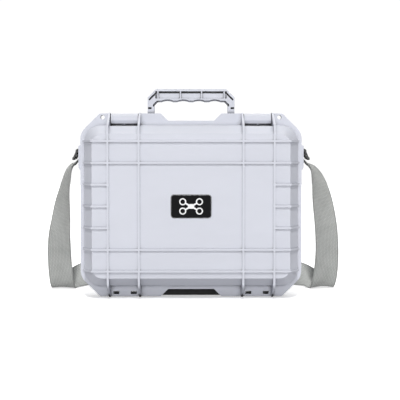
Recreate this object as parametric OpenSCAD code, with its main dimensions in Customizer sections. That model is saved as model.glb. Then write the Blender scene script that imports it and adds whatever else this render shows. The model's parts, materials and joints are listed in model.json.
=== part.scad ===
// Hard carrying case for a camera drone: a ribbed lid and base that meet at a sealed rim,
// two snap latches, a folding grip handle, two hinges, foam trays and a webbing strap.
// The case stands on its hinge side. +Z is up, the lid faces -Y, and the origin is at the
// middle of the case's footprint.

/* [Case] */
// Width over the rim
case_w = 320; // [312:1:330]
// Height of the rim, without its ears
rim_h = 244; // [240:1:250]
// How far the ears stand past the rim at the top and the bottom
ear_h = 10.5; // [9.5:0.5:11.5]
// Width of the rim around the bulging shells
rim_w = 6.4; // [6:0.2:7]
// Thickness of each rim plate
rim_t = 6; // [5:0.5:6.5]
// Wall thickness of both shells
wall = 3; // [2.5:0.5:3.5]
// Depth of the whole case over its ribs
case_d = 130; // [126:1:140]
// Where the two halves meet, from the middle of the depth
part_y = -13; // [-15:1:-12]

/* [Ribs] */
// Thickness of every rib
rib_t = 3; // [2.5:0.5:3.5]
// How far the ribs stand proud of the faces
rib_proud = 2.5; // [1.5:0.5:3]
// Distance of the outer upright ribs from the middle
rib_outer_x = 117.7; // [117:0.1:118.5]
// Distance of the inner upright ribs from the middle
rib_inner_x = 73.9; // [73:0.1:74.5]
// Spacing of the level ribs
rib_pitch = 30.7; // [30:0.1:31]

/* [Latches] */
// Width of a latch
latch_w = 39; // [36:0.5:39.5]
// Diameter of the latch, hinge and handle pins
pin_d = 4; // [3.5:0.1:4.2]

/* [Handle] */
// Width over the handle's legs
handle_w = 126.4; // [124:0.2:127]
// Top of the handle above the floor
handle_top = 302; // [298:1:310]
// Width of one handle leg
leg_w = 10; // [9:0.5:10.2]
// Depth of the handle, front to back
handle_d = 15; // [14.4:0.2:15]
// Spacing of the finger hollows
finger_pitch = 22.9; // [21:0.1:24]

/* [Badge] */
// Width of the badge
badge_w = 57.4; // [50:0.1:60]
// Height of the badge
badge_h = 33.4; // [30:0.1:36]

/* [Strap] */
// Width of the webbing
strap_w = 38; // [36:1:38]
// Thickness of the webbing
strap_t = 1.6; // [1.2:0.1:1.6]

/* [Hidden] */
$fn = 48;

shell_color = [0.83, 0.84, 0.88];
dark_color = [0.1, 0.1, 0.11];
foam_color = [0.16, 0.16, 0.17];
webbing_color = [0.64, 0.65, 0.63];

eps = 0.01;
seam = 0.3;            // gap between the two halves
run_fit = 0.06;        // radial clearance of a running pin
pin_r = pin_d / 2;

// Heights and depths that several pieces share
foot_gap = 1;                              // the ears end this far above the floor
mid_z = foot_gap + ear_h + rim_h / 2;
rim_top = mid_z + rim_h / 2;
rim_bottom = mid_z - rim_h / 2;
ear_top = rim_top + ear_h;
front_y = -case_d / 2;
back_y = case_d / 2;
lid_face_y = front_y + rib_proud;
base_face_y = back_y - rib_proud;
lid_rim_y = part_y - rim_t;
base_rim_y = part_y + seam;
base_rim_back = base_rim_y + rim_t;

// The shells' bulge: a drafted wall, then a bevel down to the flat face
bulge_w = case_w - 2 * rim_w;
bulge_h = rim_h - 2 * rim_w;
bulge_r = 24;
draft = 1.6;
bevel_depth = 18;
face_inset = 13.4;

// Upright ribs end in slopes at the top and the bottom of the case
rib_slope = 18.5;
rib_xs = [-rib_outer_x, -rib_inner_x, rib_inner_x, rib_outer_x];

// Ears and the notch between them
notch_half = 33.3;
ear_end = 132;
bay_x = (rib_outer_x + rib_inner_x) / 2;           // middle of a latch or hinge bay
bay_w = rib_outer_x - rib_inner_x - rib_t;         // clear width between a bay's ribs

// Latch pivot, latch bay floor and catch bead
latch_y = 1;
latch_z = rim_top + 1.5;
bay_floor_z = rim_top + 3;
bead = [latch_w - 4, 2.2, 4];

// Hinge axis and its knuckles
hinge_y = part_y + 6.6;
hinge_z = 7.3;
knuckle_r = 6.3;
arm_w = 13;
knuckle_w = 12;
window = [8.4, 4.4];
window_x = 12.7;

// Padlock holes through both ears
padlock_x = 127.6;
padlock_z = ear_top - 5.7;
padlock_r = 3;

// Handle pivot and its brackets
handle_y = 2;
handle_z = rim_top + 1.5;
handle_leg_x = handle_w / 2 - leg_w / 2;
grip_low = handle_top - 19.4;
cheek_t = 4.5;
cheek_gap = 0.8;
pivot_pin_w = leg_w + 2 * (cheek_gap + cheek_t);

// Strap brackets on the sides of the base
bracket_y = 28;
bracket_l = 50;
bracket_z = 184;
bracket_h = 36;
bracket_x = bulge_w / 2 + 11.4;
bracket_wall_x = bulge_w / 2 + 0.15;
bracket_plate = 3.5;
screw_r = 1.8;
screw_tip_x = bulge_w / 2 - wall - 1;

gasket_w = 2.8;
tray_y = 36;            // where the cut foam meets the plain layer
gasket_in = 1.4;       // from the bulge's edge to the gasket's inner side

// ---- helpers -------------------------------------------------------------------------

function unit(v) = v / norm(v);

// Points of an arc that rounds corner b of the path a, b, c with radius r
function corner(a, b, c, r, n) =
    let (u = unit(a - b), v = unit(c - b), half = acos(u * v) / 2)
    r <= 0 ? [b] :
    let (mid = b + unit(u + v) * r / sin(half), s = b + u * r / tan(half) - mid,
         e = b + v * r / tan(half) - mid, turn = 180 - 2 * half)
    [for (i = [0:n]) mid + (s * sin(turn * (1 - i / n)) + e * sin(turn * i / n)) / sin(turn)];

// A closed outline with every corner rounded by its own radius
function rounded(p, r, n = 5) =
    let (m = len(p))
    [for (i = [0:m - 1]) each corner(p[(i + m - 1) % m], p[i], p[(i + 1) % m], r[i], n)];

function reversed(p) = [for (i = [len(p) - 1:-1:0]) p[i]];

// A quarter outline copied into the other three quarters
function four_quarters(q) =
    concat(q, reversed([for (p = q) [p.x, -p.y]]), [for (p = q) -p],
           reversed([for (p = q) [-p.x, p.y]]));

// Rounded rectangle made of true arcs
module plate_2d(w, h, r) {
    square([w - 2 * r, h], center = true);
    square([w, h - 2 * r], center = true);
    for (x = [-1, 1], y = [-1, 1])
        translate([x * (w / 2 - r), y * (h / 2 - r)])
            circle(r);
}

// Extrudes a front-view outline (x, z) from depth y0 to depth y1
module front_slab(y0, y1) {
    rotate([90, 0, 0])
        translate([0, 0, -y1])
            linear_extrude(y1 - y0)
                children();
}

// Extrudes a side-view outline (y, z) over a width w about x
module side_slab(x, w) {
    translate([x - w / 2, 0, 0])
        rotate([90, 0, 90])
            linear_extrude(w)
                children();
}

module bar_x(x, y, z, r, w) {
    translate([x - w / 2, y, z])
        rotate([0, 90, 0])
            cylinder(r = r, h = w);
}

module box(low, high) {
    translate(low)
        cube(high - low);
}

// Convex body of one shell: rim side at y0, bevel from y1 to the face at y2
module bulge(y0, y1, y2, shrink) {
    step = y2 > y0 ? eps : -eps;
    translate([0, 0, mid_z])
        hull() {
            bulge_level(min(y0, y0 + step), shrink);
            bulge_level(min(y1, y1 + step), shrink + draft);
            bulge_level(min(y2, y2 - step), shrink + face_inset);
        }
}

module bulge_level(y, inset) {
    front_slab(y, y + eps)
        plate_2d(bulge_w - 2 * inset, bulge_h - 2 * inset, max(bulge_r - inset * 0.7, 4), $fn = 32);
}

// Rim plate with its ears and the notch between them, seen from the front
module rim_2d() {
    half_h = rim_h / 2;
    quarter = [[notch_half, half_h], [notch_half + ear_h, half_h + ear_h],
               [ear_end, half_h + ear_h],
               [case_w / 2, half_h + ear_h - (case_w / 2 - ear_end)]];
    radii = [2, 3, 5, 22];
    polygon(rounded(four_quarters(quarter),
                    concat(radii, reversed(radii), radii, reversed(radii))));
}

module latch_bays() {
    for (s = [-1, 1])
        box([s * bay_x - bay_w / 2, -200, bay_floor_z], [s * bay_x + bay_w / 2, 200, ear_top + 5]);
}

module padlock_holes() {
    for (s = [-1, 1])
        translate([s * padlock_x, 0, padlock_z])
            rotate([90, 0, 0])
                cylinder(r = padlock_r, h = 60, center = true);
}

// Level ribs as plates with the given plan outline: full ones and short outer ones
module level_ribs(outline) {
    for (k = [-3:3])
        translate([0, 0, mid_z + k * rib_pitch - rib_t / 2])
            intersection() {
                linear_extrude(rib_t)
                    polygon(outline);
                if (abs(k) < 2)
                    for (s = [-1, 1])
                        box([s * 150 - 34, -100, -1], [s * 150 + 34, 100, rib_t + 1]);
            }
}

// ---- lid -----------------------------------------------------------------------------

module lid_shell() {
    color(shell_color)
        difference() {
            union() {
                bulge(lid_rim_y, lid_face_y + bevel_depth, lid_face_y, 0);
                difference() {
                    translate([0, 0, mid_z])
                        front_slab(lid_rim_y, part_y)
                            rim_2d();
                    latch_bays();
                }
                lid_upright_ribs();
                lid_level_ribs();
                catch_beads();
                hinge_arms();
            }
            bulge(part_y + 1, lid_face_y + bevel_depth, lid_face_y + wall, wall);
            padlock_holes();
            hinge_windows();
            for (s = [-1, 1])
                bar_x(s * bay_x, hinge_y, hinge_z, pin_r + run_fit, arm_w + 2);
            badge_seat();
            finger_slots();
        }
}

module lid_upright_ribs() {
    top = ear_top + foot_gap;
    outline = rounded([[part_y, 0], [lid_rim_y, 0], [front_y, rib_slope],
                       [front_y, top - rib_slope], [lid_rim_y, top], [part_y, top]],
                      [0, 2, 8, 8, 2, 0]);
    for (x = rib_xs)
        side_slab(x, rib_t)
            polygon(outline);
}

module lid_level_ribs() {
    edge = bulge_w / 2 + 0.8;
    level_ribs([[-edge, part_y - 1], [-edge, lid_face_y + bevel_depth], [-edge + 13, front_y],
                [edge - 13, front_y], [edge, lid_face_y + bevel_depth], [edge, part_y - 1]]);
}

// Beads that the latch lips come down over
module catch_beads() {
    for (s = [-1, 1])
        box([s * bay_x - bead.x / 2, lid_rim_y - bead.y, latch_z - 3],
            [s * bay_x + bead.x / 2, lid_rim_y + 1, latch_z - 3 + bead.z]);
}

module hinge_arms() {
    for (s = [-1, 1]) {
        box([s * bay_x - arm_w / 2, part_y - 1, foot_gap + 0.3],
            [s * bay_x + arm_w / 2, hinge_y, hinge_z + knuckle_r]);
        bar_x(s * bay_x, hinge_y, hinge_z, knuckle_r - 0.3, arm_w);
    }
}

module hinge_windows() {
    for (s = [-1, 1], t = [-1, 1])
        box([s * bay_x + t * window_x - window.x / 2, lid_rim_y - 1, hinge_z - 0.8 - window.y / 2],
            [s * bay_x + t * window_x + window.x / 2, part_y + 1, hinge_z - 0.8 + window.y / 2]);
}

// Slots under the latches' noses, where a fingertip lifts them
module finger_slots() {
    for (s = [-1, 1])
        box([s * bay_x - bay_w / 2, lid_face_y + bevel_depth - 3, rim_top - rim_w - 1.9],
            [s * bay_x + bay_w / 2, part_y - 2, rim_top - 3.5]);
}

module badge_seat() {
    translate([0, 0, mid_z])
        front_slab(lid_face_y - 1, lid_face_y + 0.6)
            plate_2d(badge_w + 0.4, badge_h + 0.4, 5);
}

module name_plate() {
    color(dark_color)
        translate([0, 0, mid_z])
            front_slab(lid_face_y - 0.8, lid_face_y + 0.6)
                plate_2d(badge_w, badge_h, 4.8);
}

// A plain four-rotor aircraft sign
module plate_emblem() {
    rotor = [11.8, 6.6];
    color("white")
        translate([0, 0, mid_z])
            front_slab(lid_face_y - 1.1, lid_face_y - 0.8)
                difference() {
                    union() {
                        for (s = [-1, 1]) {
                            rotate(s * atan(rotor.y / rotor.x))
                                square([2 * norm(rotor), 2.2], center = true);
                            for (t = [-1, 1])
                                translate([s * rotor.x, t * rotor.y])
                                    circle(5);
                        }
                        plate_2d(9, 6.6, 2.4);
                    }
                    for (s = [-1, 1], t = [-1, 1])
                        translate([s * rotor.x, t * rotor.y])
                            circle(3.3);
                }
}

module lid_foam() {
    color(foam_color)
        difference() {
            bulge(part_y + 1, lid_face_y + bevel_depth, lid_face_y + wall + 0.3, wall + 0.6);
            box([-200, lid_rim_y - 11, 0], [200, 0, 300]);
        }
}

// ---- base ----------------------------------------------------------------------------

module base_shell() {
    color(shell_color)
        difference() {
            union() {
                bulge(base_rim_y + 1, base_face_y - bevel_depth, base_face_y, 0);
                base_rim();
                base_upright_ribs();
                base_level_ribs();
                hinge_knuckles();
                handle_cheeks();
            }
            bulge(base_rim_y - 1, base_face_y - bevel_depth, base_face_y - wall, wall);
            gasket_ring(base_rim_y - 1, base_rim_y + 2.5, 0.1);
            padlock_holes();
            for (s = [-1, 1]) {
                bar_x(s * bay_x, latch_y, latch_z, pin_r, bay_w + 4 * rib_t);
                bar_x(s * bay_x, hinge_y, hinge_z, pin_r, 3 * arm_w);
                knuckle_pockets(s);
                bar_x(s * handle_leg_x, handle_y, handle_z, pin_r, pivot_pin_w + 1);
                box([s * bay_x - arm_w / 2 - 0.5, -40, -1],
                    [s * bay_x + arm_w / 2 + 0.5, 0.5, hinge_z + knuckle_r + 0.6]);
                bracket_holes(s, bulge_w / 2 - wall - 8);
            }
        }
}

module base_rim() {
    difference() {
        translate([0, 0, mid_z])
            front_slab(base_rim_y, base_rim_back)
                rim_2d();
        latch_bays();
        box([-case_w, -100, -1], [case_w, 100, hinge_z + 0.2]);
    }
}

module base_upright_ribs() {
    wall_top = mid_z + bulge_h / 2;
    foot_y = 10.5;
    outline = rounded([[base_rim_back - 1, hinge_z + 2.2], [foot_y - 9.5, hinge_z + 2.2],
                       [foot_y, 0], [back_y - 20, 0], [back_y, rib_slope],
                       [back_y, ear_top + foot_gap - rib_slope], [back_y - 15, wall_top + 2],
                       [20, wall_top + 2], [latch_y + 8, latch_z + 7],
                       [base_rim_back - 1, latch_z + 7]],
                      [0, 2, 2, 4, 8, 4, 4, 4, 3, 0]);
    for (x = rib_xs)
        side_slab(x, rib_t)
            polygon(outline);
}

module base_level_ribs() {
    edge = bulge_w / 2 - draft;
    level_ribs([[-edge, base_face_y - bevel_depth], [-edge + 11, back_y],
                [edge - 11, back_y], [edge, base_face_y - bevel_depth]]);
}

module hinge_knuckles() {
    for (s = [-1, 1], t = [-1, 1]) {
        x = s * bay_x + t * (arm_w / 2 + 0.5 + knuckle_w / 2);
        bar_x(x, hinge_y, hinge_z, knuckle_r, knuckle_w);
        box([x - knuckle_w / 2, base_rim_y, hinge_z],
            [x + knuckle_w / 2, base_rim_back + 6.6, mid_z - bulge_h / 2 + 1]);
    }
}

// Pockets behind the lid's windows, which leave the hinge pin in view
module knuckle_pockets(s) {
    for (t = [-1, 1])
        box([s * bay_x + t * window_x - window.x / 2 + 0.6, part_y - 1, hinge_z - 3.2],
            [s * bay_x + t * window_x + window.x / 2 - 0.6, hinge_y - 0.4, hinge_z + 2.4]);
}

module handle_cheeks() {
    outline = rounded([[base_rim_back - 1, rim_top - 10], [base_rim_back - 1, handle_z + 7],
                       [handle_y + 5.5, handle_z + 7], [handle_y + 10, rim_top - 10]],
                      [0, 0, 5, 0]);
    for (s = [-1, 1], t = [-1, 1])
        side_slab(s * handle_leg_x + t * (leg_w / 2 + cheek_gap + cheek_t / 2), cheek_t)
            polygon(outline);
}

module gasket_ring(y0, y1, grow) {
    side = 2 * (gasket_in + gasket_w + grow);
    inner = 2 * (gasket_in - grow);
    translate([0, 0, mid_z])
        front_slab(y0, y1)
            difference() {
                plate_2d(bulge_w + side, bulge_h + side, bulge_r + gasket_w + gasket_in);
                plate_2d(bulge_w + inner, bulge_h + inner, bulge_r + gasket_in);
            }
}

module gasket() {
    color(dark_color)
        gasket_ring(base_rim_y - 0.05, base_rim_y + 2.5, 0);
}

// Layer cut out for an aircraft, its controller, three batteries and small accessories
module base_foam() {
    left = -136;
    split = 30;
    right = 136;
    low = mid_z - 98;
    high = mid_z + 98;
    color(foam_color)
        difference() {
            foam_block();
            box([-200, tray_y, 0], [200, 100, 300]);
            box([left, -50, low], [split - 6, 50, mid_z + 8]);
            box([left, -50, mid_z + 18], [split - 6, 50, high]);
            box([split + 6, -50, mid_z + 18], [right, 50, high]);
            for (i = [0:2])
                box([split + 6, -50, low + i * 37], [right, 50, low + i * 37 + 28]);
        }
}

// Plain layer under the cut one
module foam_floor() {
    color(foam_color)
        difference() {
            foam_block();
            box([-200, -50, 0], [200, tray_y, 300]);
        }
}

module foam_block() {
    difference() {
        bulge(base_rim_y - 1, base_face_y - bevel_depth, base_face_y - wall - 0.3, wall + 0.6);
        box([-200, -50, 0], [200, base_rim_y + 3.7, 300]);
    }
}

// Wide rubber foot under the base, between the ears
module rubber_foot() {
    top = mid_z - bulge_h / 2;
    color(dark_color)
        front_slab(hinge_y + 10, 44)
            polygon(rounded([[-50, top + 0.1], [-50, 0], [50, 0], [50, top + 0.1]],
                            [0, 2, 2, 0]));
}

// ---- latches, handle and pins --------------------------------------------------------

// Seen from the side: a barrel on the pin, a plate over the rim and a hooked nose
module latch(x) {
    outline = rounded([[3, 2.9], [1.5, 8.8], [-18.5, 8.8], [-26.8, 5.6], [-28.8, -1],
                       [-26.8, -6.4], [-22.9, -6.4], [-23.3, 0], [-21.2, 2.9]],
                      [0.4, 1.5, 6, 4, 4, 1.6, 0.6, 1, 1]);
    difference() {
        union() {
            translate([0, latch_y, latch_z])
                side_slab(x, latch_w)
                    polygon(outline);
            bar_x(x, latch_y, latch_z, 4.2, latch_w);
            translate([x, latch_y - 24.9, latch_z - 6.4])
                sphere(r = 1.6, $fn = 24);
        }
        bar_x(x, latch_y, latch_z, pin_r + run_fit, latch_w + 2);
    }
}

module latch_left() {
    color(shell_color)
        latch(-bay_x);
}

module latch_right() {
    color(shell_color)
        latch(bay_x);
}

module handle() {
    leg_low = handle_z - handle_d / 2;
    color(shell_color)
        difference() {
            intersection() {
                front_slab(handle_y - handle_d / 2, handle_y + handle_d / 2)
                    difference() {
                        handle_outline(leg_low);
                        handle_opening(leg_low, 0);
                    }
                side_slab(0, handle_w + 2)
                    handle_side_2d();
            }
            for (side = [-1, 1]) {
                grip_recess(side);
                opening_rebate(side);
            }
            leg_slots();
            for (s = [-1, 1])
                bar_x(s * handle_leg_x, handle_y, handle_z, pin_r + run_fit, leg_w + 2);
        }
}

module handle_outline(leg_low) {
    half = handle_w / 2;
    slope = 12.4;
    polygon(rounded([[-half, leg_low], [-half, handle_top - slope],
                     [-half + slope, handle_top], [half - slope, handle_top],
                     [half, handle_top - slope], [half, leg_low]],
                    [0, 2, 2, 2, 2, 0]));
}

// The opening under the grip with its finger hollows, grown by a margin
module handle_opening(leg_low, grow) {
    half = handle_w / 2 - leg_w + grow;
    slope = 4.8 + grow * 0.4;
    high = grip_low + grow;
    hollow_r = 21;
    hollow_depth = 1.8;
    polygon(rounded([[-half, leg_low - 1], [-half, high - slope], [-half + slope, high],
                     [half - slope, high], [half, high - slope], [half, leg_low - 1]],
                    [0, 2, 2, 2, 2, 0]));
    intersection() {
        for (i = [-1.5:1.5])
            translate([i * finger_pitch, high + hollow_depth - hollow_r])
                circle(hollow_r, $fn = 96);
        translate([slope - half, high - 2])
            square([2 * (half - slope), 6]);
    }
}

// A deep step round the upper part of the opening, in both faces
module opening_rebate(side) {
    face_y = handle_y + side * handle_d / 2;
    inner_y = face_y - side * 6.6;
    front_slab(min(inner_y, face_y + side), max(inner_y, face_y + side))
        intersection() {
            handle_opening(handle_z, 2.3);
            translate([-handle_w, grip_low - 6.2])
                square([2 * handle_w, 30]);
        }
}

module handle_side_2d() {
    half = handle_d / 2;
    low = handle_z - half;
    polygon(rounded([[handle_y - half, low], [handle_y - half, handle_top],
                     [handle_y + half, handle_top], [handle_y + half, low]],
                    [half - 0.05, 3, 3, half - 0.05], 10));
}

// The grip is hollowed on both faces between thin ribs, with a deep slot under its top edge
module grip_recess(side) {
    face_y = handle_y + side * handle_d / 2;
    stops = [-53, -48.2, -15.4, 15.4, 48.2, 53];
    for (i = [0:len(stops) - 2]) {
        recess(stops[i] + 0.9, stops[i + 1] - 0.9, grip_low + 5.4, handle_top - 3.6, face_y,
               -side * 2);
        recess(stops[i] + 0.9, stops[i + 1] - 0.9, handle_top - 6.6, handle_top - 3.6, face_y,
               -side * 6.8);
    }
    for (s = [-1, 1])
        translate([s * (handle_w / 2 - 7.5), face_y, handle_top - 10.7])
            rotate([0, s * 45, 0])
                cube([15.4, 13, 2.4], center = true);
}

// Box cut into a face from its plane by the given signed depth
module recess(x0, x1, z0, z1, face_y, depth) {
    box([x0, min(face_y - sign(depth), face_y + depth), z0],
        [x1, max(face_y - sign(depth), face_y + depth), z1]);
}

module leg_slots() {
    for (s = [-1, 1])
        box([s * (handle_w / 2 - 2.6) - 3, -100, handle_top - 29.4],
            [s * (handle_w / 2 - 2.6) + 3, handle_y - handle_d / 2 + 6.6, handle_top - 26.6]);
}

module handle_pins() {
    color("silver")
        for (s = [-1, 1])
            bar_x(s * handle_leg_x, handle_y, handle_z, pin_r, pivot_pin_w);
}

module latch_pins() {
    color("silver")
        for (s = [-1, 1])
            bar_x(s * bay_x, latch_y, latch_z, pin_r, bay_w + 2 * rib_t);
}

module hinge_pins() {
    color("silver")
        for (s = [-1, 1])
            bar_x(s * bay_x, hinge_y, hinge_z, pin_r, arm_w + 2 * knuckle_w + 1);
}

// ---- strap and its fittings ----------------------------------------------------------

// A block screwed to the side of the base, with a bar that the webbing loops round
module strap_bracket(s) {
    y0 = bracket_y - bracket_l / 2;
    y1 = bracket_y + bracket_l / 2;
    z1 = bracket_z + bracket_h;
    outline = rounded([[bracket_wall_x, bracket_z], [bracket_x - 2, bracket_z],
                       [bracket_x, bracket_z + 4], [bracket_x, z1], [bracket_wall_x, z1]],
                      [0, 1, 2, 1.5, 3]);
    color(shell_color)
        mirror([s < 0 ? 1 : 0, 0, 0])
            difference() {
                front_slab(y0, y1)
                    polygon(outline);
                box([0, y0 + 4.5, bracket_z + 13.5], [bracket_x + 1, y1 - 4.5, bracket_z + 20.5]);
                box([0, y0 + 4.5, bracket_z + 13.5],
                    [bracket_x - bracket_plate, y1 - 4.5, z1 + 1]);
                box([0, y0 + 4.5, bracket_z + 29.5], [bracket_x + 1, y1 - 4.5, z1 + 1]);
                screw_holes();
            }
}

module screw_holes() {
    for (t = [-1, 1])
        translate([0, bracket_y + t * 14, bracket_z + 8])
            rotate([0, 90, 0]) {
                cylinder(r = screw_r + 0.2, h = 200);
                translate([0, 0, bracket_x - 2.2])
                    cylinder(r1 = screw_r + 0.2, r2 = 3.9, h = 2.2 + eps);
            }
}

module bracket_holes(s, from_x) {
    for (t = [-1, 1])
        mirror([s < 0 ? 1 : 0, 0, 0])
            translate([from_x, bracket_y + t * 14, bracket_z + 8])
                rotate([0, 90, 0])
                    cylinder(r = screw_r, h = 20);
}

module strap_bracket_left() { strap_bracket(-1); }
module strap_bracket_right() { strap_bracket(1); }

module bracket_screws() {
    color("dimgray")
        for (s = [-1, 1], t = [-1, 1])
            mirror([s < 0 ? 1 : 0, 0, 0])
                translate([screw_tip_x, bracket_y + t * 14, bracket_z + 8])
                    rotate([0, 90, 0])
                        screw(bracket_x - 0.2 - screw_tip_x);
}

module screw(length) {
    difference() {
        union() {
            cylinder(r = screw_r, h = length);
            translate([0, 0, length - 2])
                cylinder(r1 = screw_r, r2 = 3.6, h = 2);
        }
        translate([0, 0, length])
            cube([5, 1, 2], center = true);
    }
}

// The webbing that goes in under the bracket's bar, over it and back down through the slide to
// its loose end, as (x, z) points on the right-hand side
loop_path = [[172, 192.4], [169.8, 195], [167.4, 197.6], [165, 199.8], [162.6, 201.6],
             [160.8, 203.8], [160.2, 206.4], [160.1, 209.6], [160.1, 212.6], [160.8, 214.2],
             [162.2, 215], [164, 215], [165.8, 214.8], [167.6, 214.2], [169, 212.9],
             [169.2, 211], [168.3, 208.6], [167.8, 206], [168.8, 204], [171.2, 203.2],
             [173.2, 202.4], [174, 200.6], [173.6, 198.4]];
slide_at = [169.6, 206.4];
slide_tilt = -24;

// Outline of a band of thickness t that follows a path
function band(p, t) =
    let (n = len(p),
         side = [for (i = [0:n - 1])
             let (d = unit(p[min(i + 1, n - 1)] - p[max(i - 1, 0)])) [-d.y, d.x] * t / 2])
    concat([for (i = [0:n - 1]) p[i] + side[i]], [for (i = [n - 1:-1:0]) p[i] - side[i]]);

module strap_loop(s) {
    color(webbing_color)
        mirror([s < 0 ? 1 : 0, 0, 0])
            front_slab(bracket_y - strap_w / 2, bracket_y + strap_w / 2)
                polygon(band(loop_path, strap_t - 0.1));
}

module strap_loop_left() { strap_loop(-1); }
module strap_loop_right() { strap_loop(1); }

// Three-bar slide that locks the webbing's loose end
module strap_slide(s) {
    bar_r = 1.3;
    reach = 6;
    rail_y = strap_w / 2 + 2.6;
    color(dark_color)
        mirror([s < 0 ? 1 : 0, 0, 0])
            translate([slide_at.x, bracket_y, slide_at.y])
                rotate([0, slide_tilt, 0])
                    rotate([0, 90, 0])
                        for (t = [-1, 0, 1]) {
                            translate([t * reach, 0, 0])
                                rotate([90, 0, 0])
                                    cylinder(r = bar_r, h = 2 * rail_y, center = true);
                            if (t != 0)
                                translate([0, t * rail_y, 0])
                                    cube([2 * reach + 2.6, 3, 2.6], center = true);
                        }
}

module strap_slide_left() { strap_slide(-1); }
module strap_slide_right() { strap_slide(1); }

// The free webbing from slide to slide: down the left side, over the floor behind the case
// and up the right side. Each row is a point and the direction across the webbing there.
route = [
    [[-172, 28, 192.4], [0.1, -1, 0]],
    [[-175.8, 28.6, 189.2], [0.22, -0.97, 0]],
    [[-179.4, 29.6, 183], [0.3, -0.95, 0]],
    [[-182.6, 31.5, 174], [0.37, -0.93, 0]],
    [[-186, 34, 161], [0.43, -0.9, 0]],
    [[-189.6, 37.5, 144], [0.56, -0.83, 0]],
    [[-192.4, 42, 126], [0.7, -0.72, 0]],
    [[-195, 48, 106], [0.8, -0.6, 0]],
    [[-198, 55, 84], [0.9, -0.45, 0]],
    [[-199.5, 64, 60], [1, -0.3, 0]],
    [[-199.5, 72, 36], [1, -0.2, 0]],
    [[-198, 80, 14], [1, -0.1, -0.02]],
    [[-196, 91, 2.6], [1, -0.1, -0.02]],
    [[-191, 105, 5.5], [1, -0.3, -0.1]],
    [[-181, 117, 13], [0.8, -0.5, -0.7]],
    [[-164, 126, 19.5], [0.3, -0.3, -1]],
    [[-140, 131, 20.8], [0, 0, -1]],
    [[-100, 133, 20.5], [0, 0, -1]],
    [[-50, 132, 20.5], [0, 0, -1]],
    [[0, 130, 20.5], [0, 0, -1]],
    [[50, 130, 20.5], [0, 0, -1]],
    [[100, 131, 20.5], [0, 0, -1]],
    [[142, 130, 20.8], [0, 0, -1]],
    [[168, 123, 19.5], [-0.4, -0.3, -1]],
    [[186, 113, 13.5], [-0.8, -0.5, -0.6]],
    [[196, 101, 6], [-1, -0.3, -0.15]],
    [[201, 89, 3], [-1, -0.1, -0.02]],
    [[204, 78, 14], [-1, -0.1, -0.02]],
    [[206, 70, 36], [-1, -0.2, 0]],
    [[206, 62, 60], [-1, -0.3, 0]],
    [[204.4, 54, 84], [-0.97, -0.38, 0]],
    [[201.6, 47, 106], [-0.91, -0.45, 0]],
    [[198, 42, 127], [-0.85, -0.54, 0]],
    [[194, 37, 146], [-0.77, -0.64, 0]],
    [[189.8, 33, 163], [-0.64, -0.77, 0]],
    [[185.6, 30.6, 175], [-0.53, -0.85, 0]],
    [[181, 29.2, 183.8], [-0.4, -0.92, 0]],
    [[176, 28.4, 189.6], [-0.22, -0.97, 0]],
    [[172, 28, 192.4], [-0.1, -1, 0]]];

// Value at t of the smooth curve through b and c, between neighbours a and d
function smooth(a, b, c, d, t) =
    (2 * b + (c - a) * t + (2 * a - 5 * b + 4 * c - d) * t * t
     + (3 * b - a - 3 * c + d) * t * t * t) / 2;

function half_t(f) = strap_t * (0.54 - 0.08 * abs(f));

function along(k, u) =
    let (n = len(route) - 1, i = min(floor(u), n - 1), t = u - i)
    smooth(route[max(i - 1, 0)][k], route[i][k], route[i + 1][k], route[min(i + 2, n)][k], t);

// One ring of the webbing's section: four points on each face, a little fuller in the middle
function strap_ring(u) =
    let (n = len(route) - 1, p = along(0, u),
         ahead = unit(along(0, min(u + 0.05, n)) - along(0, max(u - 0.05, 0))),
         w = along(1, u), across = unit(w - ahead * (w * ahead)), out = cross(ahead, across),
         steps = [-1, -1 / 3, 1 / 3, 1])
    concat([for (f = steps) p + across * f * strap_w / 2 + out * half_t(f)],
           [for (f = reversed(steps)) p + across * f * strap_w / 2 - out * half_t(f)]);

module strap() {
    count = 2 * (len(route) - 1);
    m = 8;
    points = [for (i = [0:count]) each strap_ring(i / 2)];
    sides = [for (i = [0:count - 1], j = [0:m - 1])
        let (a = i * m + j, b = i * m + (j + 1) % m)
        each [[a, b, b + m], [a, b + m, a + m]]];
    color(webbing_color)
        polyhedron(points, concat([[for (j = [m - 1:-1:0]) j]], sides,
                                  [[for (j = [0:m - 1]) count * m + j]]));
}

base_shell();
lid_shell();
gasket();
handle();
handle_pins();
latch_left();
latch_right();
latch_pins();
hinge_pins();
name_plate();
plate_emblem();
base_foam();
foam_floor();
lid_foam();
rubber_foot();
strap_bracket_left();
strap_bracket_right();
bracket_screws();
strap();
strap_loop_left();
strap_loop_right();
strap_slide_left();
strap_slide_right();
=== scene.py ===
"""Looks for a hard drone case: moulded shells, foam, webbing strap, badge and hardware."""

import json
import math

import bmesh
import bpy
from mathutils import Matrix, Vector, noise


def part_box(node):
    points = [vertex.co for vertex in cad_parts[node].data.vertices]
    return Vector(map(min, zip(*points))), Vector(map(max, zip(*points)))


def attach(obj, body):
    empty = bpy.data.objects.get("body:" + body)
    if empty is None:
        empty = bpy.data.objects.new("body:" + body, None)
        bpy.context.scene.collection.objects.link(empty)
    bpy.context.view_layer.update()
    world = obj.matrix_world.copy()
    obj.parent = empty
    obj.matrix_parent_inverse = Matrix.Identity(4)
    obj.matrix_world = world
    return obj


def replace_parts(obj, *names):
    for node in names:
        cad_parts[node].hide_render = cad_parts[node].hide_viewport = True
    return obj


bl_info = {
    "name": "Drone Case",
    "version": (1, 0, 0),
    "blender": (4, 5, 0),
    "location": "View3D > Sidebar > Drone Case",
    "description": "Builds the looks of a hard carrying case for a camera drone",
    "category": "Object",
}

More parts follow.
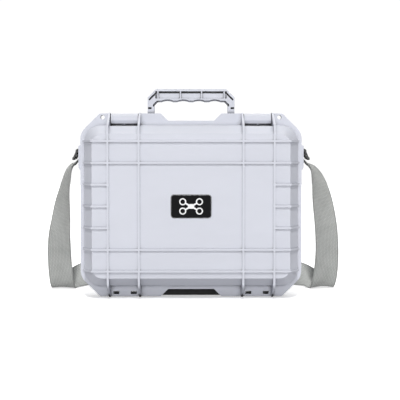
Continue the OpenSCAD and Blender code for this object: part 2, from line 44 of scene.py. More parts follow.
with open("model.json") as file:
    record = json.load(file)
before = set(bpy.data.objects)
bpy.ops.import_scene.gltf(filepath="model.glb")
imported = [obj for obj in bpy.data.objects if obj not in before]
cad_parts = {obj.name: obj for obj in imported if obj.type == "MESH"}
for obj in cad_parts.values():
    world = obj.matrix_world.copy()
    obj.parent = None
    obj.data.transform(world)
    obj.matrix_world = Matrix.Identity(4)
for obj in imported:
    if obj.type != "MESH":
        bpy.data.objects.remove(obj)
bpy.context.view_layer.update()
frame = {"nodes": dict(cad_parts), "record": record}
BODY_OF = {
    node: body
    for body, nodes in frame["record"]["behaviour"]["bodies"].items()
    for node in nodes
}

# Where the camera stands and what it looks at, in metres, with its lens in millimetres
CAMERA_AT = (0, -1.755, 0.210)
CAMERA_AIM = (0.0129, -0.019, 0.1408)
CAMERA_LENS = 108
SENSOR_WIDTH = 36

# Each light: name, degrees round from the front, degrees up, strength, softness in degrees
LIGHTS = (
    ("Key", 0, 50, 1.62, 4),
    ("Low fill", 0, 8, 1.3, 14),
    ("Back", 180, 50, 1.7, 60),
    ("Top", 0, 88, 0.15, 80),
)

# How bright the surround looks, how much light it gives, and how far the floor runs
SKY_SEEN = 1.05
SKY_LIGHT = 0.1
FLOOR_REACH = 6.0

# The strap's webbing, flat and free, and where it is pulled tight through its fittings
STRAP_WIDTH = 0.038
STRAP_THICKNESS = 0.0016
FOLD_WIDTH = 0.0378
FOLD_THICKNESS = 0.0015

# How finely the webbing is made: steps along it, and points round its section
STRAP_STEPS = 340
FOLD_STEPS = 120
SECTION_POINTS = 28

# Radii of the small corners that are the same wherever they come
SLIDE_CORNER = 0.0005
PIN_CORNER = 0.0004
SCREW_CORNER = 0.0002
GASKET_CORNER = 0.0006
FOOT_CORNER = 0.0015
BADGE_CORNER = 0.0007
EMBLEM_CORNER = 0.00008
FOAM_CORNER = 0.0016

# The free webbing's route from slide to slide, in metres: a point and the direction across
STRAP_ROUTE = [
    ((-0.172, 0.028, 0.1924), (0.1, -1, 0)),
    ((-0.1758, 0.0286, 0.1892), (0.22, -0.97, 0)),
    ((-0.1794, 0.0296, 0.183), (0.3, -0.95, 0)),
    ((-0.1826, 0.0315, 0.174), (0.37, -0.93, 0)),
    ((-0.186, 0.034, 0.161), (0.43, -0.9, 0)),
    ((-0.1896, 0.0375, 0.144), (0.56, -0.83, 0)),
    ((-0.1924, 0.042, 0.126), (0.7, -0.72, 0)),
    ((-0.195, 0.048, 0.106), (0.8, -0.6, 0)),
    ((-0.198, 0.055, 0.084), (0.9, -0.45, 0)),
    ((-0.1995, 0.064, 0.06), (1, -0.3, 0)),
    ((-0.1995, 0.072, 0.036), (1, -0.2, 0)),
    ((-0.198, 0.08, 0.014), (1, -0.1, -0.02)),
    ((-0.196, 0.091, 0.0026), (1, -0.1, -0.02)),
    ((-0.191, 0.105, 0.0055), (1, -0.3, -0.1)),
    ((-0.181, 0.117, 0.013), (0.8, -0.5, -0.7)),
    ((-0.164, 0.126, 0.0195), (0.3, -0.3, -1)),
    ((-0.14, 0.131, 0.0208), (0, 0, -1)),
    ((-0.1, 0.133, 0.0205), (0, 0, -1)),
    ((-0.05, 0.132, 0.0205), (0, 0, -1)),
    ((0, 0.13, 0.0205), (0, 0, -1)),
    ((0.05, 0.13, 0.0205), (0, 0, -1)),
    ((0.1, 0.131, 0.0205), (0, 0, -1)),
    ((0.142, 0.13, 0.0208), (0, 0, -1)),
    ((0.168, 0.123, 0.0195), (-0.4, -0.3, -1)),
    ((0.186, 0.113, 0.0135), (-0.8, -0.5, -0.6)),
    ((0.196, 0.101, 0.006), (-1, -0.3, -0.15)),
    ((0.201, 0.089, 0.003), (-1, -0.1, -0.02)),
    ((0.204, 0.078, 0.014), (-1, -0.1, -0.02)),
    ((0.206, 0.07, 0.036), (-1, -0.2, 0)),
    ((0.206, 0.062, 0.06), (-1, -0.3, 0)),
    ((0.2044, 0.054, 0.084), (-0.97, -0.38, 0)),
    ((0.2016, 0.047, 0.106), (-0.91, -0.45, 0)),
    ((0.198, 0.042, 0.127), (-0.85, -0.54, 0)),
    ((0.194, 0.037, 0.146), (-0.77, -0.64, 0)),
    ((0.1898, 0.033, 0.163), (-0.64, -0.77, 0)),
    ((0.1856, 0.0306, 0.175), (-0.53, -0.85, 0)),
    ((0.181, 0.0292, 0.1838), (-0.4, -0.92, 0)),
    ((0.176, 0.0284, 0.1896), (-0.22, -0.97, 0)),
    ((0.172, 0.028, 0.1924), (-0.1, -1, 0)),
]

# The folded webbing through the right-hand bracket, as (x, z) in metres
LOOP_ROUTE = [
    (0.172, 0.1924), (0.1698, 0.195), (0.1674, 0.1976), (0.165, 0.1998), (0.1626, 0.2016),
    (0.1608, 0.2038), (0.1602, 0.2064), (0.1601, 0.2096), (0.1601, 0.2126),
    (0.1608, 0.2142), (0.1622, 0.215), (0.164, 0.215), (0.1658, 0.2148), (0.1676, 0.2142),
    (0.169, 0.2129), (0.1692, 0.211), (0.1683, 0.2086), (0.1678, 0.206), (0.1688, 0.204),
    (0.1712, 0.2032), (0.1732, 0.2024), (0.174, 0.2006), (0.1736, 0.1984),
]


# ---- shader maths --------------------------------------------------------------------


class Signal:
    """A number flowing through a material, that sums and products can be written with."""

    def __init__(self, graph, socket):
        self.graph = graph
        self.socket = socket

    def _math(self, operation, *others):
        node = self.graph.tree.nodes.new("ShaderNodeMath")
        node.operation = operation
        for socket, value in zip(node.inputs, (self, *others)):
            self.graph.feed(socket, value)
        return Signal(self.graph, node.outputs[0])

    def __add__(self, other):
        return self._math("ADD", other)

    def __sub__(self, other):
        return self._math("SUBTRACT", other)

    def __rsub__(self, other):
        return self.graph.number(other)._math("SUBTRACT", self)

    def __mul__(self, other):
        return self._math("MULTIPLY", other)

    def __truediv__(self, other):
        return self._math("DIVIDE", other)

    __radd__ = __add__
    __rmul__ = __mul__

    def sine(self):
        return self._math("SINE")

    def size(self):
        return self._math("ABSOLUTE")

    def floor(self):
        return self._math("FLOOR")

    def fraction(self):
        return self._math("FRACT")

    def most(self, other):
        return self._math("MAXIMUM", other)

    def ramp(self, low, high, start=0.0, end=1.0):
        """Runs smoothly from start to end as the number goes from low to high."""
        node = self.graph.node(
            "MapRange",
            {"Value": self, "From Min": low, "From Max": high, "To Min": start, "To Max": end},
            interpolation_type="SMOOTHSTEP",
        )
        return Signal(self.graph, node.outputs[0])


class Finish:
    """One material, whose look is written as sums of textures."""

    def __init__(self, name, **constants):
        self.material = bpy.data.materials.new(name)
        self.material.use_nodes = True
        self.tree = self.material.node_tree
        self.shader = self.tree.nodes["Principled BSDF"]
        for socket, value in constants.items():
            self.shader.inputs[socket.replace("_", " ")].default_value = value

    def feed(self, socket, value):
        if isinstance(value, Signal):
            self.tree.links.new(value.socket, socket)
        else:
            socket.default_value = value

    def node(self, kind, inputs=None, **settings):
        node = self.tree.nodes.new("ShaderNode" + kind)
        for key, value in settings.items():
            setattr(node, key, value)
        for key, value in (inputs or {}).items():
            self.feed(node.inputs[key], value)
        return node

    def number(self, value):
        """A plain number as a signal, for sums that start with one."""
        node = self.tree.nodes.new("ShaderNodeValue")
        node.outputs[0].default_value = value
        return Signal(self, node.outputs[0])

    def place(self, stretch=(1, 1, 1)):
        """Where on the piece a point is, in metres, stretched for streaky textures."""
        node = self.node("Mapping", {"Scale": stretch})
        source = self.node("TexCoord")
        self.tree.links.new(source.outputs["Object"], node.inputs["Vector"])
        return Signal(self, node.outputs[0])

    def cloth(self):
        """Distance across and along a webbing, in metres, from its own layout."""
        node = self.node("SeparateXYZ")
        source = self.node("UVMap", uv_map="layout")
        self.tree.links.new(source.outputs[0], node.inputs[0])
        return Signal(self, node.outputs[0]), Signal(self, node.outputs[1])

    def noise(self, scale, detail=3.0, roughness=0.55, at=None):
        """Soft noise from 0 to 1 with about this many patches in a metre."""
        node = self.node(
            "TexNoise",
            {
                "Vector": at or self.place(),
                "Scale": scale,
                "Detail": detail,
                "Roughness": roughness,
            },
        )
        return Signal(self, node.outputs[0])

    def cells(self, scale):
        """Distance to the middle of the nearest of many small cells."""
        node = self.node("TexVoronoi", {"Vector": self.place(), "Scale": scale})
        return Signal(self, node.outputs["Distance"])

    def painted_shade(self, reach, slot, closed, share):
        """Painted shade from 0 to 1, read from ambient occlusion: full deep in slots, and a
        share of it in open corners.
        """
        # Painted shade: these thresholds set how dark slots and corners are painted, not dirt.
        unshaded_above = 0.85
        node = self.node("AmbientOcclusion", {"Distance": reach}, samples=8)
        openness = Signal(self, node.outputs["AO"])
        deep = openness.ramp(slot, closed, 1.0, 0.0)
        return deep.most(openness.ramp(slot, unshaded_above, share, 0.0))

    def blend(self, amount, first, second):
        """A colour that runs from the first to the second as the amount rises."""
        node = self.node("Mix", data_type="RGBA", clamp_factor=True)
        self.feed(node.inputs["Factor"], amount)
        for key, colour in ((6, first), (7, second)):
            self.feed(node.inputs[key], colour)
        return Signal(self, node.outputs[2])

    def relief(self, height, depth):
        """Fine relief, where height runs from 0 to 1 and depth is in metres."""
        node = self.node("Bump", {"Height": height, "Strength": 1.0, "Distance": depth})
        self.tree.links.new(node.outputs[0], self.shader.inputs["Normal"])
        return self

    def paint(self, colour, roughness):
        self.feed(self.shader.inputs["Base Color"], colour)
        self.feed(self.shader.inputs["Roughness"], roughness)


def shade(colour, amount):
    """The same colour made lighter or darker by a share."""
    return tuple(min(c * (1 + amount), 1.0) for c in colour[:3]) + (1.0,)


def recess_shadow_colour(colour):
    """The near-black painted shade in the plastic's slots."""
    return shade(colour, -0.94)


def moulded_plastic(colour):
    """Satin polypropylene: spark-eroded grain, faint flow marks, and painted shade that
    darkens its corners and slots.
    """
    f = Finish("Moulded plastic", Specular_IOR_Level=0.42)
    # Painted shade: the colour runs to near-black deep in slots and darker in corners, read
    # from ambient occlusion.
    painted_shade = f.painted_shade(0.009, 0.22, 0.5, 0.45)
    grain = f.noise(2600, 2.0)
    flow = f.noise(9, 3.0, at=f.place((1, 1, 2.4)))
    scuff = f.noise(60, 5.0, 0.7).ramp(0.6, 0.78)
    unshaded = f.blend(flow.ramp(0.35, 0.65), shade(colour, -0.018), shade(colour, 0.012))
    f.paint(
        f.blend(painted_shade, unshaded, recess_shadow_colour(colour)),
        0.43 + flow * 0.1 + scuff * 0.08 + grain * 0.04,
    )
    return f.relief(grain + scuff * 0.2, 0.00005).material


def handle_plastic(colour):
    """The same plastic with a coarser grip texture, and painted shade in its slots and
    corners.
    """
    f = Finish("Grip plastic", Specular_IOR_Level=0.42)
    grain = f.noise(1500, 2.0)
    wear = f.noise(42, 4.0).ramp(0.5, 0.75)
    # Painted shade: near-black in the handle's slots and darker in its corners, read from
    # ambient occlusion.
    painted_shade = f.painted_shade(0.01, 0.42, 0.75, 0.75)
    unshaded = f.blend(wear, shade(colour, -0.03), shade(colour, 0.01))
    f.paint(f.blend(painted_shade, unshaded, recess_shadow_colour(colour)), 0.5 - wear * 0.08 + grain * 0.05)
    return f.relief(grain, 0.00009).material


def seal_rubber():
    """Soft matt cord with a dusty bloom."""
    f = Finish("Seal rubber", Specular_IOR_Level=0.3)
    bloom = f.noise(160, 4.0)
    f.paint(
        f.blend(bloom, (0.018, 0.018, 0.019, 1), (0.04, 0.04, 0.041, 1)), 0.72 + bloom * 0.2
    )
    return f.relief(bloom, 0.00006).material


def drawn_steel():
    """Drawn pins with fine lines along their length."""
    f = Finish("Drawn steel", Metallic=1.0)
    lines = f.noise(900, 3.0, at=f.place((0.05, 1, 1)))
    f.paint(
        f.blend(lines, (0.36, 0.37, 0.38, 1), (0.55, 0.55, 0.56, 1)), 0.24 + lines * 0.18
    )
    return f.relief(lines, 0.00002).material


def darkened_screws():
    """Screws with a dark wax finish that has rubbed through in places."""
    f = Finish("Darkened screws", Metallic=1.0)
    rubbed = f.noise(420, 4.0).ramp(0.5, 0.7)
    f.paint(
        f.blend(rubbed, (0.09, 0.09, 0.095, 1), (0.3, 0.3, 0.31, 1)), 0.46 - rubbed * 0.16
    )
    return f.relief(rubbed, 0.00003).material


def badge_gloss():
    """Deep black gloss under a clear dome, with hairline polish marks."""
    f = Finish("Badge gloss", Specular_IOR_Level=0.1, Coat_Weight=0.2, Coat_Roughness=0.02)
    polish = f.noise(300, 3.0, at=f.place((1, 1, 0.1)))
    f.paint(
        f.blend(polish, (0.003, 0.003, 0.004, 1), (0.005, 0.005, 0.006, 1)),
        0.03 + polish * 0.04,
    )
    return f.relief(polish, 0.000008).material


def painted_badge_highlight():
    """The badge's edge in a lighter grey than its face: a painted highlight standing in for
    the light its domed edge catches.
    """
    f = Finish("Badge rim", Metallic=0.6)
    grain = f.noise(1200, 2.0)
    f.paint(f.blend(grain, (0.2, 0.2, 0.21, 1), (0.3, 0.3, 0.31, 1)), 0.3 + grain * 0.1)
    return f.relief(grain, 0.00002).material


def printed_white():
    """Thick white ink with a slight orange-peel surface."""
    f = Finish("Printed white", Specular_IOR_Level=0.5)
    peel = f.noise(700, 2.0)
    f.paint(f.blend(peel, (0.78, 0.78, 0.78, 1), (0.88, 0.88, 0.88, 1)), 0.3 + peel * 0.15)
    return f.relief(peel, 0.00003).material


def cut_foam():
    """Charcoal open-cell foam: pores of two sizes over a soft mottle."""
    f = Finish("Cut foam", Specular_IOR_Level=0.12)
    pores = f.cells(1300)
    holes = f.cells(430).ramp(0.0, 0.4)
    mottle = f.noise(70, 4.0)
    # Darker at the pore centres where the relief sinks: painted shade in the pores, over a
    # mottle of random tone.
    f.paint(
        f.blend(
            (pores * 0.6 + mottle * 0.5).ramp(0.2, 0.9),
            (0.008, 0.008, 0.009, 1),
            (0.042, 0.042, 0.045, 1),
        ),
        0.93 - mottle * 0.06,
    )
    return f.relief(pores * 0.7 + holes * 0.5, 0.0006).material


def woven_webbing(colour):
    """Ribbed webbing: raised picks in staggered columns, with thicker woven edges."""
    column_width, pick_length, thread_width = 0.0024, 0.0022, 0.0006
    edge_from, edge_to = 0.0166, 0.0176
    f = Finish("Woven webbing", Specular_IOR_Level=0.25, Sheen_Weight=0.15)
    across, along = f.cloth()
    column = across / column_width
    stagger = (column.floor() * 0.5).fraction()
    pick = ((along / pick_length + stagger) * math.tau).sine() * 0.5 + 0.5
    warp = (column * math.pi).sine().size()
    thread = ((across / thread_width) * math.tau).sine() * 0.5 + 0.5
    fuzz = f.noise(2400, 2.0)
    edge = across.size().ramp(edge_from, edge_to)
    height = (pick * 0.5 + warp * 0.35 + thread * 0.15) * (1 - edge * 0.45) + fuzz * 0.2
    soil = f.noise(40, 4.0)
    # Colour follows the weave's height: painted shade in its hollows and painted highlight on
    # its raised picks, with soil noise as real dirt.
    f.paint(
        f.blend(
            (height * 0.8 + soil * 0.35).ramp(0.2, 1.0),
            shade(colour, -0.55),
            shade(colour, 0.45),
        ),
        0.74 + fuzz * 0.16,
    )
    return f.relief(height, 0.0007).material


def moulded_black():
    """Black nylon with a faint grain and rubbed high spots."""
    f = Finish("Moulded black", Specular_IOR_Level=0.4)
    grain = f.noise(1800, 2.0)
    rub = f.noise(110, 4.0).ramp(0.55, 0.75)
    f.paint(f.blend(rub, (0.012, 0.012, 0.013, 1), (0.03, 0.03, 0.032, 1)), 0.4 + rub * 0.12)
    return f.relief(grain, 0.00004).material


def floor_paper():
    """A pale sheet of background paper that throws only part of its light back up."""
    f = Finish("Background paper", Specular_IOR_Level=0.0, Emission_Strength=1.0)
    tooth = f.noise(500, 3.0)
    seen = Signal(f, f.node("LightPath").outputs["Is Camera Ray"])
    paper = f.blend(tooth, (0.96, 0.96, 0.96, 1), (0.99, 0.99, 0.99, 1))
    thrown_back = (0.62, 0.62, 0.63, 1)
    f.paint(f.blend(seen, thrown_back, paper), 0.95)
    dark, glow = (0.0, 0.0, 0.0, 1), (0.45, 0.45, 0.45, 1)
    f.feed(f.shader.inputs["Emission Color"], f.blend(seen, dark, glow))
    return f.material


# ---- mesh making ---------------------------------------------------------------------


def new_piece(name, mesh_maker, material, node, cusp=34):
    """Turns a finished bmesh into a piece that rides on its node's body."""
    mesh = bpy.data.meshes.new(name)
    mesh_maker.to_mesh(mesh)
    mesh_maker.free()
    mesh.materials.append(material)
    mesh.shade_smooth()
    mesh.set_sharp_from_angle(angle=math.radians(cusp))
    piece = bpy.data.objects.new(name, mesh)
    bpy.context.scene.collection.objects.link(piece)
    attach(piece, BODY_OF[node])
    return piece


def softened(node, radius, segments=2):
    """A copy of a node's solid with its outer corners rounded off."""
    same_point, shortest_edge = 1e-5, 0.00015
    flat, corner = math.radians(0.6), math.radians(28)
    bm = bmesh.new()
    bm.from_mesh(frame["nodes"][node].data)
    bmesh.ops.remove_doubles(bm, verts=bm.verts, dist=same_point)
    bmesh.ops.dissolve_limit(bm, angle_limit=flat, verts=bm.verts, edges=bm.edges)
    bmesh.ops.dissolve_degenerate(bm, dist=shortest_edge, edges=bm.edges)
    corners = [
        edge
        for edge in bm.edges
        if len(edge.link_faces) == 2 and edge.calc_face_angle_signed(0) > corner
    ]
    bmesh.ops.bevel(
        bm,
        geom=corners,
        offset=radius,
        offset_type="OFFSET",
        affect="EDGES",
        segments=segments,
        profile=0.5,
        material=-1,
        clamp_overlap=True,
    )
    return bm


def level_normals(piece):
    """Keeps flat faces flat-shaded beside their rounded corners."""
    level = piece.modifiers.new("Level normals", "WEIGHTED_NORMAL")
    level.keep_sharp = True
    return piece


def moulded_piece(node, material, radius, segments=2):
    """Stands in for a node's solid with a copy that has its corners rounded off."""
    piece = new_piece(node + "_moulded", softened(node, radius, segments), material, node)
    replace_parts(level_normals(piece), node)
    return piece


def curve_point(points, t):
    """Point at t on the smooth curve through a list of vectors."""
    last = len(points) - 1
    i = min(int(t), last - 1)
    a, b = points[max(i - 1, 0)], points[i]
    c, d = points[i + 1], points[min(i + 2, last)]
    f = t - i
    return 0.5 * (
        2 * b
        + (c - a) * f
        + (2 * a - 5 * b + 4 * c - d) * f * f
        + (3 * b - a - 3 * c + d) * f * f * f
    )


def webbing_section(width, thickness, count):
    """Offsets across and out around a webbing's section, with plump woven edges."""
    squareness = 0.22
    plump_from, plump_by = 0.88, 0.22
    ring = []
    half = count // 2
    for k in range(count):
        side = 1 if k < half else -1
        share = (k % half) / half
        across = math.cos(math.pi * share) * side
        out = abs(math.sin(math.pi * share)) ** squareness * side
        plump = 1.0 + plump_by * max(0.0, abs(across) - plump_from) / (1 - plump_from)
        ring.append((across * width / 2, out * thickness / 2 * plump))
    return ring


def webbing(name, centres, directions, width, thickness, material, node, count, fold=0.0):
    """A band of webbing swept along its centre line, laid out in metres for its weave."""
    step = 0.05
    ripple_height, cup_height = 0.0011, 0.0016
    ripples_per_metre, ripples_across, ripple_seed = 16, 0.8, 3.1
    section = webbing_section(width, thickness, SECTION_POINTS)
    bm = bmesh.new()
    layout = bm.loops.layers.uv.new("layout")
    bmesh.ops.create_grid(
        bm, x_segments=len(section), y_segments=count, size=1.0, calc_uvs=True
    )
    last = len(centres) - 1
    stations = []
    run = 0.0
    before = None
    for j in range(count + 1):
        t = last * j / count
        point = curve_point(centres, t)
        ahead = (
            curve_point(centres, min(t + step, last)) - curve_point(centres, max(t - step, 0))
        ).normalized()
        across = curve_point(directions, t)
        across = (across - ahead * across.dot(ahead)).normalized()
        run += (point - before).length if before else 0.0
        before = point
        stations.append((point, across, ahead.cross(across), run))
    for face in bm.faces:
        for loop in face.loops:
            k = round((loop.vert.co.x + 1) / 2 * len(section))
            j = round((loop.vert.co.y + 1) / 2 * count)
            loop[layout].uv = (section[k % len(section)][0], stations[j][3])
    for vert in bm.verts:
        k = round((vert.co.x + 1) / 2 * len(section)) % len(section)
        j = round((vert.co.y + 1) / 2 * count)
        point, across, out, run = stations[j]
        side, lift = section[k]
        share = side / width * 2
        spot = Vector((run * ripples_per_metre, share * ripples_across, ripple_seed))
        ripple = ripple_height * fold * noise.noise(spot)
        cup = fold * cup_height * (share * share - 0.5)
        vert.co = point + across * side + out * (lift + ripple + cup)
    bmesh.ops.remove_doubles(bm, verts=bm.verts, dist=1e-6)
    bmesh.ops.holes_fill(bm, edges=[e for e in bm.edges if e.is_boundary], sides=0)
    bmesh.ops.recalc_face_normals(bm, faces=bm.faces)
    piece = new_piece(name, bm, material, node, cusp=60)
    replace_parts(piece, node)
    return piece, [s[0] for s in stations], run


# ---- settings ------------------------------------------------------------------------


class CaseColours(bpy.types.PropertyGroup):
    """Colours of the case's finishes."""

    shell: bpy.props.FloatVectorProperty(
        name="Shell",
        description="Colour of the moulded shells, latches and handle",
        subtype="COLOR",
        size=3,
        default=(0.62, 0.635, 0.70),
    )
    webbing: bpy.props.FloatVectorProperty(
        name="Webbing",
        description="Colour of the strap's weave",
        subtype="COLOR",
        size=3,
        default=(0.42, 0.43, 0.415),
    )


class CaseSizes(bpy.types.PropertyGroup):
    """Sizes of the case's fine detail."""

    corner: bpy.props.FloatProperty(
        name="Shell corner",
        description="Radius of the moulded shells' outer corners",
        unit="LENGTH",
        default=0.0006,
        min=0.0001,
        max=0.0015,
    )
    handle_corner: bpy.props.FloatProperty(
        name="Handle corner",
        description="Radius of the handle's outer corners",
        unit="LENGTH",
        default=0.0008,
        min=0.0001,
        max=0.002,
    )
    foam_peak: bpy.props.FloatProperty(
        name="Foam peaks",
        description="Height of the lid foam's egg-box peaks",
        unit="LENGTH",
        default=0.007,
        min=0.001,
        max=0.012,
    )
    foam_pitch: bpy.props.FloatProperty(
        name="Foam pitch",
        description="Distance between the lid foam's peaks",
        unit="LENGTH",
        default=0.022,
        min=0.01,
        max=0.05,
    )


# ---- operators -----------------------------------------------------------------------


class CASE_OT_camera(bpy.types.Operator):
    """Sets up the camera in front of the lid."""

    bl_idname = "drone_case.camera"
    bl_label = "Camera"

    def execute(self, context):
        data = bpy.data.cameras.new("Camera")
        data.lens = CAMERA_LENS
        data.sensor_width = SENSOR_WIDTH
        camera = bpy.data.objects.new("Camera", data)
        context.scene.collection.objects.link(camera)
        camera.location = CAMERA_AT
        aim = Vector(CAMERA_AIM) - camera.location
        camera.rotation_euler = aim.to_track_quat("-Z", "Y").to_euler()
        context.scene.camera = camera
        return {"FINISHED"}


class CASE_OT_strap(bpy.types.Operator):
    """Makes the free webbing and the folds that pass through the brackets."""

    bl_idname = "drone_case.strap"
    bl_label = "Strap"

    def execute(self, context):
        material = woven_webbing(context.scene.case_colours.webbing)
        centres = [Vector(point) for point, _ in STRAP_ROUTE]
        directions = [Vector(across) for _, across in STRAP_ROUTE]
        strap, line, length = webbing(
            "strap_webbing",
            centres,
            directions,
            STRAP_WIDTH,
            STRAP_THICKNESS,
            material,
            "strap",
            STRAP_STEPS,
            fold=1.0,
        )
        folds = []
        low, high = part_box("strap_loop_right")
        middle = (low.y + high.y) / 2
        for side, sign in (("left", -1), ("right", 1)):
            node = "strap_loop_" + side
            loop = [Vector((x * sign, middle, z)) for x, z in LOOP_ROUTE]
            fold, _, _ = webbing(
                "strap_fold_" + side,
                loop,
                [Vector((0, -1, 0))] * len(loop),
                FOLD_WIDTH,
                FOLD_THICKNESS,
                material,
                node,
                FOLD_STEPS,
            )
            folds.append(fold)
        folds + ["strap_slide_left_moulded", "strap_slide_right_moulded"]
        return {"FINISHED"}


class CASE_OT_slides(bpy.types.Operator):
    """Makes the slides that lock the webbing."""

    bl_idname = "drone_case.slides"
    bl_label = "Slides"

    def execute(self, context):
        material = moulded_black()
        for node in ("strap_slide_left", "strap_slide_right"):
            moulded_piece(node, material, SLIDE_CORNER)
        return {"FINISHED"}


class CASE_OT_shells(bpy.types.Operator):
    """Makes the moulded shells, latches, brackets and handle with their corners rounded."""

    bl_idname = "drone_case.shells"
    bl_label = "Shells and handle"

    def execute(self, context):
        colour = tuple(context.scene.case_colours.shell)
        sizes = context.scene.case_sizes
        plastic = moulded_plastic(colour)
        nodes = ["base_shell", "lid_shell", "latch_left", "latch_right"]
        for node in nodes + ["strap_bracket_left", "strap_bracket_right"]:
            moulded_piece(node, plastic, sizes.corner)
        moulded_piece("handle", handle_plastic(colour), sizes.handle_corner, 3)
        return {"FINISHED"}


class CASE_OT_hardware(bpy.types.Operator):
    """Gives the pins, screws and sealing cord their finishes."""

    bl_idname = "drone_case.hardware"
    bl_label = "Pins, screws and seal"

    def execute(self, context):
        steel = drawn_steel()
        for node in ("handle_pins", "latch_pins", "hinge_pins"):
            moulded_piece(node, steel, PIN_CORNER)
        moulded_piece("bracket_screws", darkened_screws(), SCREW_CORNER)
        rubber = seal_rubber()
        moulded_piece("gasket", rubber, GASKET_CORNER, 3)
        moulded_piece("rubber_foot", rubber, FOOT_CORNER, 3)
        return {"FINISHED"}


class CASE_OT_badge(bpy.types.Operator):
    """Makes the gloss badge, with its edge painted lighter as a highlight, and its raised
    sign.
    """

    bl_idname = "drone_case.badge"
    bl_label = "Badge"

    def execute(self, context):
        facing_front = 0.98
        plate = moulded_piece("name_plate", badge_gloss(), BADGE_CORNER, 3)
        plate.data.materials.append(painted_badge_highlight())
        # Faces round the badge's edge take the lighter grey: a painted highlight.
        for face in plate.data.polygons:
            if abs(face.normal.y) < facing_front:
                face.material_index = 1
        moulded_piece("plate_emblem", printed_white(), EMBLEM_CORNER, 1)
        return {"FINISHED"}


class CASE_OT_foam(bpy.types.Operator):
    """Makes the cut tray and the egg-box pad in the lid."""

    bl_idname = "drone_case.foam"
    bl_label = "Foam"

    def execute(self, context):
        material = cut_foam()
        for name, node in (("tray_foam", "base_foam"), ("tray_floor", "foam_floor")):
            block = new_piece(name, softened(node, FOAM_CORNER, 3), material, node)
            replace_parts(level_normals(block), node)
        pad = self.lid_pad(context.scene.case_sizes, material)
        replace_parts(pad, "lid_foam")
        return {"FINISHED"}

    def lid_pad(self, sizes, material):
        """The lid's pad: its own solid with the face towards the tray cut into peaks."""
        low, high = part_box("lid_foam")
        middle = (low + high) / 2
        half = (high - low) / 2
        bm = bmesh.new()
        columns, rows = 200, 150
        bmesh.ops.create_grid(bm, x_segments=columns, y_segments=rows, size=1.0)
        radius, rim_width, back_gap = 0.02, 0.01, 0.012
        for vert in bm.verts:
            x, z = vert.co.x * half.x, vert.co.y * half.z
            over = Vector(
                (max(abs(x) - half.x + radius, 0), max(abs(z) - half.z + radius, 0))
            )
            if over.length > radius:
                pull = radius / over.length
                x = math.copysign(half.x - radius + over.x * pull, x)
                z = math.copysign(half.z - radius + over.y * pull, z)
            rim = min(half.x - abs(x), half.z - abs(z))
            wave = (
                math.cos(x / sizes.foam_pitch * math.tau)
                + math.cos(z / sizes.foam_pitch * math.tau)
            ) / 4 + 0.5
            depth = sizes.foam_peak * (1 - wave) * min(max(rim / rim_width, 0), 1)
            vert.co = (middle.x + x, high.y - depth, middle.z + z)
        rim_edges = [edge for edge in bm.edges if edge.is_boundary]
        grown = bmesh.ops.extrude_edge_only(bm, edges=rim_edges)["geom"]
        back = [item for item in grown if isinstance(item, bmesh.types.BMVert)]
        for vert in back:
            x, z = vert.co.x - middle.x, vert.co.z - middle.z
            vert.co = (middle.x + x, low.y + back_gap, middle.z + z)
        bmesh.ops.holes_fill(bm, edges=[e for e in bm.edges if e.is_boundary], sides=0)
        bmesh.ops.recalc_face_normals(bm, faces=bm.faces)
        return new_piece("lid_pad", bm, material, "lid_foam")


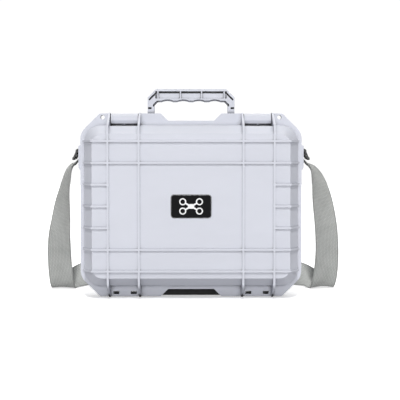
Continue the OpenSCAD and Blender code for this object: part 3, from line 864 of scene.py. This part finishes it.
class CASE_OT_stage(bpy.types.Operator):
    """Lays the floor and sets the studio lights."""

    bl_idname = "drone_case.stage"
    bl_label = "Floor and lights"

    def execute(self, context):
        bm = bmesh.new()
        bmesh.ops.create_grid(bm, x_segments=4, y_segments=4, size=FLOOR_REACH)
        mesh = bpy.data.meshes.new("floor")
        bm.to_mesh(mesh)
        bm.free()
        mesh.materials.append(floor_paper())
        floor = bpy.data.objects.new("floor", mesh)
        context.scene.collection.objects.link(floor)
        self.sky(context)
        for light in LIGHTS:
            self.sun(context, *light)
        context.scene.view_settings.view_transform = "Standard"
        return {"FINISHED"}

    def sky(self, context):
        """A white surround that gives only a little light of its own."""
        world = bpy.data.worlds.new("Studio")
        context.scene.world = world
        world.use_nodes = True
        tree = world.node_tree
        sky = tree.nodes["Background"]
        sky.inputs["Color"].default_value = (1.0, 1.0, 1.0, 1)
        seen = tree.nodes.new("ShaderNodeLightPath").outputs["Is Camera Ray"]
        level = tree.nodes.new("ShaderNodeMapRange")
        level.inputs["To Min"].default_value = SKY_LIGHT
        level.inputs["To Max"].default_value = SKY_SEEN
        tree.links.new(seen, level.inputs["Value"])
        tree.links.new(level.outputs[0], sky.inputs["Strength"])

    def sun(self, context, name, side, height, strength, softness):
        """A soft distant light, side degrees round from the front and height degrees up."""
        light = bpy.data.lights.new(name, "SUN")
        light.energy = strength
        light.angle = math.radians(softness)
        lamp = bpy.data.objects.new(name, light)
        context.scene.collection.objects.link(lamp)
        turn, lift = math.radians(side), math.radians(height)
        towards = Vector(
            (math.sin(turn) * math.cos(lift), -math.cos(turn) * math.cos(lift), math.sin(lift))
        )
        lamp.rotation_euler = towards.to_track_quat("Z", "Y").to_euler()


class CASE_PT_panel(bpy.types.Panel):
    """Sidebar panel with the case's settings and steps."""

    bl_label = "Drone Case"
    bl_idname = "CASE_PT_panel"
    bl_space_type = "VIEW_3D"
    bl_region_type = "UI"
    bl_category = "Drone Case"

    def draw(self, context):
        layout = self.layout
        for settings in (context.scene.case_colours, context.scene.case_sizes):
            for key in settings.__annotations__:
                layout.prop(settings, key)
        for step in STEPS:
            layout.operator(step.bl_idname)


STEPS = (
    CASE_OT_camera,
    CASE_OT_slides,
    CASE_OT_strap,
    CASE_OT_shells,
    CASE_OT_hardware,
    CASE_OT_badge,
    CASE_OT_foam,
    CASE_OT_stage,
)
CLASSES = (CaseColours, CaseSizes, *STEPS, CASE_PT_panel)


def register():
    for cls in CLASSES:
        bpy.utils.register_class(cls)
    bpy.types.Scene.case_colours = bpy.props.PointerProperty(type=CaseColours)
    bpy.types.Scene.case_sizes = bpy.props.PointerProperty(type=CaseSizes)


def unregister():
    del bpy.types.Scene.case_sizes
    del bpy.types.Scene.case_colours
    for cls in reversed(CLASSES):
        bpy.utils.unregister_class(cls)


def main():
    register()
    for step in STEPS:
        getattr(bpy.ops.drone_case, step.bl_idname.split(".")[1])()


if __name__ == "__main__":
    main()
